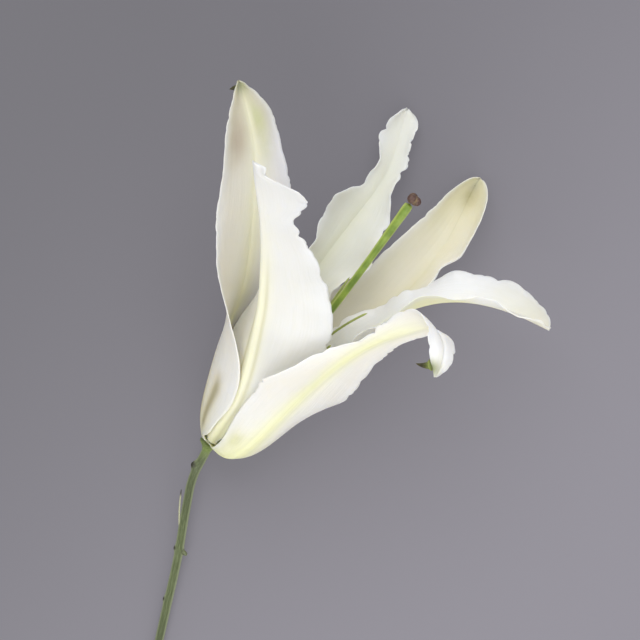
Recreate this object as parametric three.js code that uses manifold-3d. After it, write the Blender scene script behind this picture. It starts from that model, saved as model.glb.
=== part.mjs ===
// A cut white lily, one open flower on its stem, lying on a flat surface.
// Millimetres and degrees. +Z is up off the surface and +Y runs from the cut stem to the flower's mouth.

import * as THREE from "three";
import { mergeVertices } from "three/addons/utils/BufferGeometryUtils.js";
import Module from "manifold-3d";

const wasm = await Module();
wasm.setup();

// Where the flower lies
const FLOWER_TILT = 21; // how far the flower's axis rises off the surface
const BASE = new THREE.Vector3(3.5, -27.1, 13.5); // the top of the stem, where the tepals start

// The stem: sideways, along and up from the flower's base, as it slopes down to the surface
const STEM_RADIUS = 1.7;
const STEM_ROUTE = [
  [0.3, -2.9, -1.3],
  [1.0, -5.2, -2.4],
  [1.9, -9.5, -4.2],
  [2.9, -14.0, -5.5],
  [4.8, -18.9, -6.3],
  [7.9, -24.6, -7.3],
  [12.1, -32.0, -8.2],
  [17.2, -40.6, -9],
  [22.2, -49.8, -9.8],
  [27.2, -59.7, -10.5],
  [32.2, -69.4, -11],
  [37.2, -79.1, -11.4],
  [42.0, -88.6, -11.8],
];
const RECEPTACLE = [
  // [radius, height up the flower's axis], flat on top
  [0, -5.5],
  [STEM_RADIUS, -5],
  [2.6, -3.4],
  [3.7, -2.2],
  [4.3, -1.6],
  [0, -1.6],
];

// What grows out of the stem. at: the share of the way down it; side: degrees round it, from right over top
const STEM_SCARS = [
  { at: 0.11, side: 150, size: [1.0, 2.4, 1.2] },
  { at: 0.445, side: 160, size: [0.9, 1.6, 1.1] },
  { at: 0.455, side: 10, size: [1.8, 1.0, 1.1] },
  { at: 0.65, side: 170, size: [0.8, 1.6, 1.0] },
];
const BRACT = { at: 0.27, side: 172, length: 7, width: 1.7, thickness: 0.8, gape: 10, rooted: 0.8 };

// The pistil and the filaments, up the flower's axis
const STYLE_BOW = 3.4; // how far the style bows out sideways
const STYLE_TOP = 125;
const STYLE_PROFILE = [
  // [radius, height]: the ovary, then the style
  [1.2, 0],
  [1.5, 8],
  [1.6, 24],
  [1.35, 34],
  [1.3, 60],
  [1.35, 100],
  [1.8, 123],
  [1.5, 125],
];
const FOOT_HEIGHT = -1.3; // where the pistil and the filaments start, just off the receptacle
const STIGMA_RADIUS = 2.7;
const STIGMA_FLATNESS = 0.72;
const STIGMA_LOBE = 0.14; // how far its three lobes stand out, as a share of its radius
const STIGMA_GAP = 0.3;
const FILAMENT_RING = 2.3;
const FILAMENTS = [
  { azimuth: 197, length: 85, spread: 5.5, turn: 2.4 },
  { azimuth: 108, length: 80, spread: 9.6, turn: 4.7 },
  { azimuth: 60, length: 64, spread: 7, turn: 2.4 },
  { azimuth: 0, length: 72, spread: 8, turn: 2.4 },
  { azimuth: -66, length: 72, spread: 8, turn: 2.4 },
  { azimuth: -120, length: 70, spread: 8, turn: 2.4 },
];
const FILAMENT_FOOT = 0.6;
const FILAMENT_TIP = 0.4;

// The claws, where the tepals start on the receptacle
const CLAW_RADIUS = 3.7;
const SHOULDER_REACH = 0.075; // how far up a tepal its first outward turn goes, as a share of its length
const TIP_START = 0.6; // where a tepal starts to narrow to its tip
const TIP_HALF_WIDTH = 0.5;

// The tube: up to here the six tepals share one wall, with the petals inside the sepals
const TUBE_END = [0.2, 0.45];
const PETAL_INSET = 1.7;

// The ruffle of the margins
const RUFFLE_START = [0.25, 0.6]; // it grows in between these shares of the length
const RUFFLE_DEPTH = 2.5; // the higher, the nearer to the margin it stays
const RUFFLE_OFFSET = 130; // degrees between the waves of the two margins
const FLATTEST_CURL = 0.01; // radians

// Thickness of a tepal
const MARGIN_THICKNESS = 0.8;
const MIDDLE_THICKNESS = 1.2;
const KEEL_HALF_WIDTH = 2.2;

// How the grid of a tepal is spaced: rows closer at the claw and the tip, columns closer at the midrib
const ROW_CROWDING = 0.6;
const COLUMN_CROWDING = 1.6;
const SLOPE_STEP = 0.003; // the share of a tepal over which its slope is taken

// The small green hook on the outside of each sepal's tip
const HOOK_RADIUS = 1.2;
const HOOK_ROOTED = 0.4;
const HOOK_SEAT = 0.4; // how far outside the middle of the blade it starts
const HOOK_SPAN = [0.05, 0.1]; // the shares of the length and half width that set its directions

// What the three outer tepals share, and the three inner ones
const SEPAL = {
  inset: 0,
  clawHeight: -0.2,
  clawHalfWidth: 3.4,
  clawReach: 0.035,
  keelHeight: 0.5,
  bluntness: 0.6,
  rows: 32,
  columns: 8,
};
const PETAL = {
  inset: PETAL_INSET,
  clawHeight: 1.8,
  clawHalfWidth: 2.6,
  clawReach: 0.085,
  keelHeight: 0.9,
  bluntness: 0.55,
  rows: 44,
  columns: 10,
};

// One entry for each tepal, in degrees. azimuth: 0 is straight up off the flower's axis and 90 is to its
// right. lean: away from the axis. twist: about the midrib. crease and curl: the bend across the blade.
// ahead and behind: the half of the blade on the side of the next tepal and the other half, in millimetres,
// before the tip narrows. lobes: where the margin of one half bulges or draws in. hook: where it
// stands, how far it leans out from the blade, how far it turns towards the next tepal and its length.
const TEPALS = [
  {
    name: "sepal_left", form: SEPAL, length: 144, shoulder: 22,
    azimuth: [-72, -74, -82, -86, -85, -85], lean: [22, 22, 20, 26, 46, 54],
    ahead: [6.5, 13, 20, 23, 22, 25.5, 23.5, 21.5, 20, 17.5, 12],
    behind: [5.5, 10.5, 16, 19, 20, 19, 16.5, 13, 11.5, 13, 11],
    twist: [0, 0, -20, -40, -46, -42], crease: [0, 0, 4, 4, 4, 8], curl: [50, 55, 30, 16, 16, 20],
    ruffle: 0.6, waves: 4, phase: 0, lobes: [],
    hook: { at: 0.97, lean: 80, turn: 35, length: 5.5 },
  },
  {
    name: "petal_front", form: PETAL, length: 142, shoulder: 40,
    azimuth: [-7, -10, -28, -36, -37.3, -38.6], lean: [22, 14, 24, 38, 42, 46],
    ahead: [3, 7, 13, 20.5, 27, 29, 25, 21, 14.5, 22, 47],
    behind: [3, 7, 13, 20.5, 27, 29, 28, 23, 18, 18, 19],
    twist: [0, 0, 0, 0, 0, 0], crease: [0, 0, 22, 34, 32, 24], curl: [50, 54, 34, 30, 24, 20],
    ruffle: 1.6, waves: 7, phase: 20,
    lobes: [{ hand: 1, at: 0.86, size: -2.5, reach: 0.025 }],
  },
  {
    name: "sepal_curled", form: SEPAL, length: 139, shoulder: 60,
    azimuth: [48, 45, 41.5, 40.5, 41, 44], lean: [24, 8, 12, 26, 51, 162],
    ahead: [6.5, 12.5, 20.1, 28.4, 19.5, 15, 14, 8.2, 8, 12, 13],
    behind: [5.5, 10.5, 16, 17.8, 22.5, 14, 5.2, 6.5, 9.5, 5, 5],
    twist: [0, 0, 8, 2, -20, 12], crease: [0, -4, -8, 6, 24, 10], curl: [45, 42, 10, 6, -10, -60],
    ruffle: 0.4, waves: 5, phase: 60, lobes: [],
    hook: { at: 0.94, lean: 90, turn: -35, length: 6.5 },
  },
  {
    name: "petal_right", form: PETAL, length: 150, shoulder: 50,
    azimuth: [110, 110, 106, 104, 98, 95], lean: [22, 4, 3, 20, 58, 77],
    ahead: [2.5, 7, 11.5, 15, 17, 15.5, 14, 14, 14.5, 15.8, 18],
    behind: [3.5, 8, 14, 18.8, 25, 26, 24, 17, 11, 9, 9],
    twist: [0, 0, -2, -4, 3, 8], crease: [0, 0, 6, 8, 24, 24], curl: [50, 54, 36, 14, 14, 20],
    ruffle: 1.6, waves: 7, phase: 0, lobes: [{ hand: 1, at: 0.62, size: -5, reach: 0.09 }],
  },
  {
    name: "sepal_back", form: SEPAL, length: 146, shoulder: 62,
    azimuth: [172, 168, 157, 149, 156, 167], lean: [24, 14, 18, 21, 26.5, 27],
    ahead: [6, 12, 17.5, 17, 15, 16, 17, 18.5, 17.5, 16, 16],
    behind: [6, 11.5, 17, 17.5, 18.5, 19.5, 18, 13.5, 18.5, 22, 23],
    twist: [0, 0, 0, 0, 0, 0], crease: [0, 0, 2, 14, 20, 18], curl: [50, 52, 36, 50, 60, 60],
    ruffle: 0.5, waves: 4, phase: 90, lobes: [{ hand: -1, at: 0.755, size: -3, reach: 0.03 }],
    hook: { at: 0.97, lean: 25, turn: 0, length: 3 },
  },
  {
    name: "petal_back", form: PETAL, length: 148, shoulder: 45,
    azimuth: [-132, -137, -149, -157, -163, -157], lean: [22, 8, 12, 28, 36, 38],
    ahead: [3, 7.5, 13, 15, 14, 12, 11.5, 13, 8, 10.5, 17],
    behind: [3, 7.5, 12, 14, 13.5, 12.5, 14.5, 13, 7.5, 6.5, 11],
    twist: [0, 0, -4, -10, -10, -6], crease: [0, 0, 8, 10, 8, 6], curl: [50, 54, 50, 44, 40, 36],
    ruffle: 1.8, waves: 7, phase: 140,
    lobes: [{ hand: 1, at: 0.675, size: 2.5, reach: 0.03 }, { hand: 1, at: 0.755, size: -3, reach: 0.03 }],
  },
];

const radians = THREE.MathUtils.degToRad;
const { lerp, smoothstep } = THREE.MathUtils;

// A smooth curve through equally spaced values, at t from 0 to 1.
function through(values, t) {
  const place = Math.min(Math.max(t, 0), 1) * (values.length - 1);
  const i = Math.min(Math.floor(place), values.length - 2);
  const f = place - i;
  const at = (k) => values[Math.min(Math.max(k, 0), values.length - 1)];
  const rise = (at(i + 1) - at(i - 1)) / 2;
  const nextRise = (at(i + 2) - at(i)) / 2;
  const a = 2 * at(i) - 2 * at(i + 1) + rise + nextRise;
  const b = -3 * at(i) + 3 * at(i + 1) - 2 * rise - nextRise;
  return ((a * f + b) * f + rise) * f + at(i);
}

// The midrib as points [distance from the axis, height along it], from claw to tip in equal steps.
function midribPoints(tepal, steps = 400) {
  const points = [[CLAW_RADIUS, tepal.form.clawHeight]];
  const step = tepal.length / steps;
  for (let i = 0; i < steps; i++) {
    const s = (i + 0.5) / steps;
    const lean = radians(through(tepal.lean, s) + tepal.shoulder * Math.exp(-((s / SHOULDER_REACH) ** 2)));
    const [r, height] = points[i];
    points.push([r + step * Math.sin(lean), height + step * Math.cos(lean)]);
  }
  return points;
}

function midribAt(points, s) {
  const place = Math.min(Math.max(s, 0), 1) * (points.length - 1);
  const i = Math.min(Math.floor(place), points.length - 2);
  const f = place - i;
  return [lerp(points[i][0], points[i + 1][0], f), lerp(points[i][1], points[i + 1][1], f)];
}

const MIDRIBS = new Map(TEPALS.map((tepal) => [tepal.name, midribPoints(tepal)]));
const SEPALS = TEPALS.filter((tepal) => tepal.form === SEPAL);

function sepalRadius(sepal, height) {
  const points = MIDRIBS.get(sepal.name);
  let i = 1;
  while (i < points.length - 1 && points[i][1] < height) i++;
  const [r0, h0] = points[i - 1];
  const [r1, h1] = points[i];
  return lerp(r0, r1, Math.min(Math.max((height - h0) / (h1 - h0), 0), 1));
}

// The wall of the tube: its radius eases from each sepal to the next, round the axis.
function tubeRadius(height, azimuth) {
  for (let k = 0; k < SEPALS.length; k++) {
    const here = SEPALS[k];
    const next = SEPALS[(k + 1) % SEPALS.length];
    const start = here.azimuth[0];
    const span = (next.azimuth[0] - start + 360) % 360;
    const past = (((azimuth - start) % 360) + 360) % 360;
    if (past <= span) {
      return lerp(sepalRadius(here, height), sepalRadius(next, height), smoothstep(past / span, 0, 1));
    }
  }
  return CLAW_RADIUS;
}

// Half the blade, on the side that hand gives, with its lobes.
function halfWidth(tepal, s, hand) {
  const { form } = tepal;
  const claw = Math.exp(-((s / form.clawReach) ** 2));
  const grown = lerp(through(hand > 0 ? tepal.ahead : tepal.behind, s), form.clawHalfWidth, claw);
  const tip = Math.max(0, (s - TIP_START) / (1 - TIP_START));
  const plain = Math.max(TIP_HALF_WIDTH, grown * (1 - tip ** 3) ** form.bluntness);
  const lobes = tepal.lobes.filter((lobe) => lobe.hand === hand);
  return lobes.reduce((sum, { at, size, reach }) => sum + size * Math.exp(-(((s - at) / reach) ** 2)), plain);
}

function tepalSurface(tepal) {
  const { form } = tepal;
  const points = MIDRIBS.get(tepal.name);

  const midrib = (s) => {
    const [r, height] = midribAt(points, s);
    const turn = radians(through(tepal.azimuth, s));
    return { r, height, turn, place: new THREE.Vector3(r * Math.sin(turn), height, r * Math.cos(turn)) };
  };

  // The point at share s of the length and share v of the half width, from -1 to 1.
  return (s, v) => {
    const { r, height, turn, place } = midrib(s);
    const reach = Math.abs(v);
    const hand = Math.sign(v);
    const w = halfWidth(tepal, s, hand);

    const azimuth = turn + (w * v) / r;
    const wall = tubeRadius(height - form.inset, THREE.MathUtils.radToDeg(azimuth)) - form.inset;
    const inTube = new THREE.Vector3(wall * Math.sin(azimuth), height, wall * Math.cos(azimuth));
    const free = smoothstep(s, ...TUBE_END);
    if (free === 0) return inTube;

    const along = midrib(Math.min(s + SLOPE_STEP, 1)).place.sub(midrib(s - SLOPE_STEP).place).normalize();
    const side = new THREE.Vector3(Math.cos(turn), 0, -Math.sin(turn));
    side.addScaledVector(along, -side.dot(along)).normalize();
    side.applyAxisAngle(along, radians(through(tepal.twist, s)));
    const inward = new THREE.Vector3().crossVectors(along, side);
    const crease = radians(through(tepal.crease, s));
    const bend = radians(through(tepal.curl, s));
    const curl = Math.abs(bend) < FLATTEST_CURL ? FLATTEST_CURL : bend;
    const out = crease + curl * reach;
    const across = (w * (Math.sin(out) - Math.sin(crease))) / curl;
    const depth = (w * (Math.cos(crease) - Math.cos(out))) / curl;
    const wave = tepal.ruffle * reach ** RUFFLE_DEPTH * smoothstep(s, ...RUFFLE_START);
    const phase = tepal.phase + (hand > 0 ? 0 : RUFFLE_OFFSET);
    const swing = wave * Math.sin(radians(360 * tepal.waves * s + phase));
    place.addScaledVector(side, hand * (across - swing * Math.sin(out)));
    place.addScaledVector(inward, depth + swing * Math.cos(out));
    return inTube.lerp(place, free);
  };
}

function tepalGeometry(tepal) {
  const surface = tepalSurface(tepal);
  const { form } = tepal;
  const { rows, columns } = form;
  const inner = [];
  const outer = [];
  const e = SLOPE_STEP;
  for (let i = 0; i <= rows; i++) {
    for (let j = 0; j <= columns; j++) {
      const s = i / rows - (ROW_CROWDING * Math.sin((2 * Math.PI * i) / rows)) / (2 * Math.PI);
      const t = (2 * j) / columns - 1;
      const v = Math.sign(t) * Math.abs(t) ** COLUMN_CROWDING;
      const place = surface(s, v);
      const lengthways = surface(Math.min(s + e, 1), v).sub(surface(Math.max(s - e, 0), v));
      const sideways = surface(s, Math.min(v + e, 1)).sub(surface(s, Math.max(v - e, -1)));
      const outward = sideways.cross(lengthways).normalize();
      const half = lerp(MIDDLE_THICKNESS, MARGIN_THICKNESS, Math.abs(v)) / 2;
      const fromRib = (v * halfWidth(tepal, s, Math.sign(v))) / KEEL_HALF_WIDTH;
      const keel = form.keelHeight * Math.exp(-(fromRib ** 2)) * (1 - s);
      inner.push(place.clone().addScaledVector(outward, -half));
      outer.push(place.clone().addScaledVector(outward, half + keel));
    }
  }
  const body = blade(inner, outer, rows, columns);
  return tepal.hook ? joined([body, hook(surface, tepal.hook)]) : body;
}

function hook(surface, { at, lean, turn, length }) {
  const [back, across] = HOOK_SPAN;
  const root = surface(at, 0);
  const along = surface(at, 0).sub(surface(at - back, 0)).normalize();
  const side = surface(at, across).sub(surface(at, -across)).normalize();
  root.add(along.clone().applyAxisAngle(side, Math.PI / 2).multiplyScalar(HOOK_SEAT));
  const direction = along.clone().applyAxisAngle(side, radians(lean)).applyAxisAngle(along, radians(turn));
  const cone = new THREE.ConeGeometry(HOOK_RADIUS, length, 8);
  cone.translate(0, length / 2 - HOOK_ROOTED, 0);
  cone.applyQuaternion(new THREE.Quaternion().setFromUnitVectors(new THREE.Vector3(0, 1, 0), direction));
  return cone.translate(root.x, root.y, root.z);
}

// A closed blade from two grids of points, split into triangles alike on both faces.
function blade(inner, outer, rows, columns) {
  const wide = columns + 1;
  const count = inner.length;
  const index = [];
  const quad = (a, b, c, d) => index.push(a, b, c, a, c, d);
  for (let i = 0; i < rows; i++) {
    for (let j = 0; j < columns; j++) {
      const a = i * wide + j;
      const b = a + 1;
      const c = a + wide + 1;
      const d = a + wide;
      quad(a, d, c, b);
      index.push(count + a, count + c, count + d, count + a, count + b, count + c);
    }
  }
  const rim = [];
  for (let j = 0; j < columns; j++) rim.push(j);
  for (let i = 0; i < rows; i++) rim.push(i * wide + columns);
  for (let j = columns; j > 0; j--) rim.push(rows * wide + j);
  for (let i = rows; i > 0; i--) rim.push(i * wide);
  rim.forEach((a, k) => {
    const b = rim[(k + 1) % rim.length];
    quad(a, b, count + b, count + a);
  });
  const geometry = new THREE.BufferGeometry().setFromPoints([...inner, ...outer]);
  geometry.setIndex(index);
  return geometry;
}

// A round rod up Y from a profile of [radius, height], bent by moving each level sideways.
function bentRod(profile, bend, sides = 10) {
  const first = profile[0][1];
  const last = profile[profile.length - 1][1];
  const outline = [[0, first], ...profile, [0, last]].map(([r, h]) => new THREE.Vector2(r, h));
  const geometry = new THREE.LatheGeometry(outline, sides);
  const place = geometry.attributes.position;
  for (let i = 0; i < place.count; i++) {
    const [x, z] = bend((place.getY(i) - first) / (last - first));
    place.setXYZ(i, place.getX(i) + x, place.getY(i), place.getZ(i) + z);
  }
  return geometry;
}

function tapered(foot, tip, length, levels) {
  return Array.from({ length: levels + 1 }, (_, i) => [lerp(foot, tip, i / levels), (length * i) / levels]);
}

function solid(geometry) {
  const plain = new THREE.BufferGeometry().setAttribute("position", geometry.attributes.position);
  plain.setIndex(geometry.index);
  const merged = mergeVertices(plain, 1e-3);
  const vertProperties = new Float32Array(merged.attributes.position.array);
  const triVerts = new Uint32Array(merged.index.array);
  return new wasm.Manifold(new wasm.Mesh({ numProp: 3, vertProperties, triVerts }));
}

function geometryOf(manifold) {
  const { vertProperties, triVerts } = manifold.getMesh();
  const geometry = new THREE.BufferGeometry();
  geometry.setAttribute("position", new THREE.BufferAttribute(new Float32Array(vertProperties), 3));
  return geometry.setIndex(new THREE.BufferAttribute(new Uint32Array(triVerts), 1));
}

function joined(geometries) {
  return geometryOf(geometries.map(solid).reduce((whole, piece) => whole.add(piece)));
}

function finish(color, roughness) {
  return new THREE.MeshStandardMaterial({ color, roughness });
}

function piece(name, geometry, material) {
  const mesh = new THREE.Mesh(geometry, material);
  mesh.name = name;
  return mesh;
}

const styleBend = (t) => [STYLE_BOW * Math.sin(Math.PI * t ** 0.8), 0];

function pistil() {
  const levels = 16;
  const heights = STYLE_PROFILE.map(([, h]) => h);
  const profile = Array.from({ length: levels + 1 }, (_, i) => {
    const h = (STYLE_TOP * i) / levels;
    let k = 1;
    while (k < heights.length - 1 && heights[k] < h) k++;
    const share = (h - heights[k - 1]) / (heights[k] - heights[k - 1]);
    return [lerp(STYLE_PROFILE[k - 1][0], STYLE_PROFILE[k][0], share), h];
  });
  return bentRod(profile, styleBend).translate(0, FOOT_HEIGHT, 0);
}

function stigma() {
  const geometry = new THREE.SphereGeometry(STIGMA_RADIUS, 18, 10);
  const place = geometry.attributes.position;
  for (let i = 0; i < place.count; i++) {
    const around = Math.atan2(place.getZ(i), place.getX(i));
    const lobe = 1 + STIGMA_LOBE * Math.cos(3 * around);
    place.setXYZ(i, place.getX(i) * lobe, place.getY(i) * STIGMA_FLATNESS, place.getZ(i) * lobe);
  }
  const height = FOOT_HEIGHT + STYLE_TOP + STIGMA_GAP + STIGMA_RADIUS * STIGMA_FLATNESS;
  return geometry.translate(0, height, 0);
}

function filament({ azimuth, length, spread, turn: late }) {
  const turn = radians(azimuth);
  const profile = tapered(FILAMENT_FOOT, FILAMENT_TIP, length, 12);
  return bentRod(profile, (t) => {
    const r = FILAMENT_RING + spread * t ** late;
    const [x] = styleBend(t * (length / STYLE_TOP));
    return [r * Math.sin(turn) + x, r * Math.cos(turn)];
  }, 8).translate(0, FOOT_HEIGHT, 0);
}

// A piece built round the origin with Y down the stem and X away from it, set on the stem's surface.
function onStem(geometry, route, at, side) {
  const centre = route.getPointAt(at);
  const down = route.getTangentAt(at);
  const right = new THREE.Vector3(0, 0, 1).cross(down).normalize();
  const up = new THREE.Vector3().crossVectors(down, right);
  const away = right.multiplyScalar(Math.cos(radians(side))).addScaledVector(up, Math.sin(radians(side)));
  const frame = new THREE.Matrix4().makeBasis(away, down, new THREE.Vector3().crossVectors(away, down));
  return geometry.translate(STEM_RADIUS, 0, 0).applyMatrix4(frame.setPosition(centre));
}

function stem() {
  const route = new THREE.CatmullRomCurve3(STEM_ROUTE.map((point) => new THREE.Vector3(...point)));
  const section = new THREE.Shape().absarc(0, 0, STEM_RADIUS, 0, 2 * Math.PI);
  const rod = new THREE.ExtrudeGeometry(section, {
    curveSegments: 5,
    steps: 24,
    extrudePath: route,
    bevelEnabled: false,
  });
  const cup = new THREE.LatheGeometry(RECEPTACLE.map((point) => new THREE.Vector2(...point)), 16);
  cup.rotateX(radians(FLOWER_TILT));
  const scars = STEM_SCARS.map(({ at, side, size }) => {
    return onStem(new THREE.SphereGeometry(1, 10, 6).scale(...size), route, at, side);
  });
  const strip = new THREE.BoxGeometry(BRACT.thickness, BRACT.length, BRACT.width);
  strip.translate(0, BRACT.rooted - BRACT.length / 2, 0).rotateZ(radians(BRACT.gape));
  return joined([rod, cup, ...scars, onStem(strip, route, BRACT.at, BRACT.side)]);
}

const white = () => finish(0xf4f2ea, 0.6);
const flower = new THREE.Group();
for (const tepal of TEPALS) {
  flower.add(piece(tepal.name, tepalGeometry(tepal), white()));
}
flower.add(piece("pistil", pistil(), finish(0x9aa564, 0.5)));
flower.add(piece("stigma", stigma(), finish(0x6f4f4a, 0.7)));
FILAMENTS.forEach((each, i) => {
  flower.add(piece(`filament_${i + 1}`, filament(each), finish(0x8fa050, 0.5)));
});
flower.rotation.x = radians(FLOWER_TILT);
flower.position.copy(BASE);

const stalk = piece("stem", stem(), finish(0x4f7a35, 0.55));
stalk.position.copy(BASE);

const lily = new THREE.Group();
lily.add(flower, stalk);
export default lily;
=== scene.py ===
"""A cut white lily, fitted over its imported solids, on a plain stage."""

import math

import bmesh
import bpy
import numpy as np
from mathutils import Matrix, Vector


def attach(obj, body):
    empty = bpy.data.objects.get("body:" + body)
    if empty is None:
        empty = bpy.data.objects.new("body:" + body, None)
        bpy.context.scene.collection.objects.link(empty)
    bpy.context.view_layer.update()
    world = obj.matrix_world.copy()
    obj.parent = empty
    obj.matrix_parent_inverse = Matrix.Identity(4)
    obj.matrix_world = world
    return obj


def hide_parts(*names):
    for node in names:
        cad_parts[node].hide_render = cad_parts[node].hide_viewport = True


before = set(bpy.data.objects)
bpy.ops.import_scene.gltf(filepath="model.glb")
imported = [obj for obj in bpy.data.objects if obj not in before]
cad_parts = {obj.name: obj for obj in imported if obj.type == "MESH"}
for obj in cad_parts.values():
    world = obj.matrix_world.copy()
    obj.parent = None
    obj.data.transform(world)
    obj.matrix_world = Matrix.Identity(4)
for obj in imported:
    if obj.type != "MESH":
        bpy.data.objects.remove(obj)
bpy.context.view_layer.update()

bl_info = {
    "name": "Cut Lily",
    "version": (1, 0, 0),
    "blender": (4, 5, 0),
    "location": "View3D > Sidebar > Lily",
    "description": "Builds a cut white lily and the plain stage that it lies on",
    "category": "Add Mesh",
}

MM = 0.001

# The forms of the flower, in millimetres and degrees, close to those of its solids

CLAW_RADIUS = 3.7
SHOULDER_REACH = 0.075  # how far up a tepal its first outward turn goes, as a share of its length
TIP_START = 0.6
TIP_HALF_WIDTH = 0.5
TUBE_END = (0.2, 0.45)  # where a tepal starts to leave the tube, and where it is free of it
RUFFLE_START = (0.25, 0.6)
RUFFLE_DEPTH = 2.5
RUFFLE_OFFSET = 130
FLATTEST_CURL = 0.01
MIDRIB_STEPS = 400
FIRST_SEED = 31
SLOPE_STEP = 0.003
ROUTE_STEP = 0.001
HOOK_SEAT = 0.4
HALO_REACH = 3.6
FURROW_DEPTH = 0.3
NOWHERE = (9, 0.1, 9, 10)  # a patch or a furrow that lies off the blade
FOOT_HEIGHT = -1.3  # where the pistil and the filaments start, just off the receptacle
NOTCHES = ((0.65, 8.5, 0.3), (0.35, 21, 0.7))  # sets of notches in the margins: depth, how many, shift
NOTCH_WANDER = 1.1
DEEPEST_NOTCH = 0.4  # as a share of the half width
KEEL_REACH = 2.2
GROOVE_REACH = 0.8
RIB_REACH = 1.5
HOLLOW = (2.3, 1.1)  # the hollows beside the keel, on the inner face: distance from the midrib, and reach
KEEL_SHADE_LINES = (2.6, 0.7)  # painted shade: the dark lines in the grooves beside the keel, on the outer face
WAVE_SLANT = 1.6

SEPAL = {
    "inset": 0, "claw_height": -0.2, "claw_half_width": 3.4, "claw_reach": 0.035, "bluntness": 0.6,
    "keel": 0.45, "groove": 0.45, "veins": 7,
}
PETAL = {
    "inset": 1.7, "claw_height": 1.8, "claw_half_width": 2.6, "claw_reach": 0.085, "bluntness": 0.55,
    "keel": 0.85, "groove": 0.7, "veins": 9,
}

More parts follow.
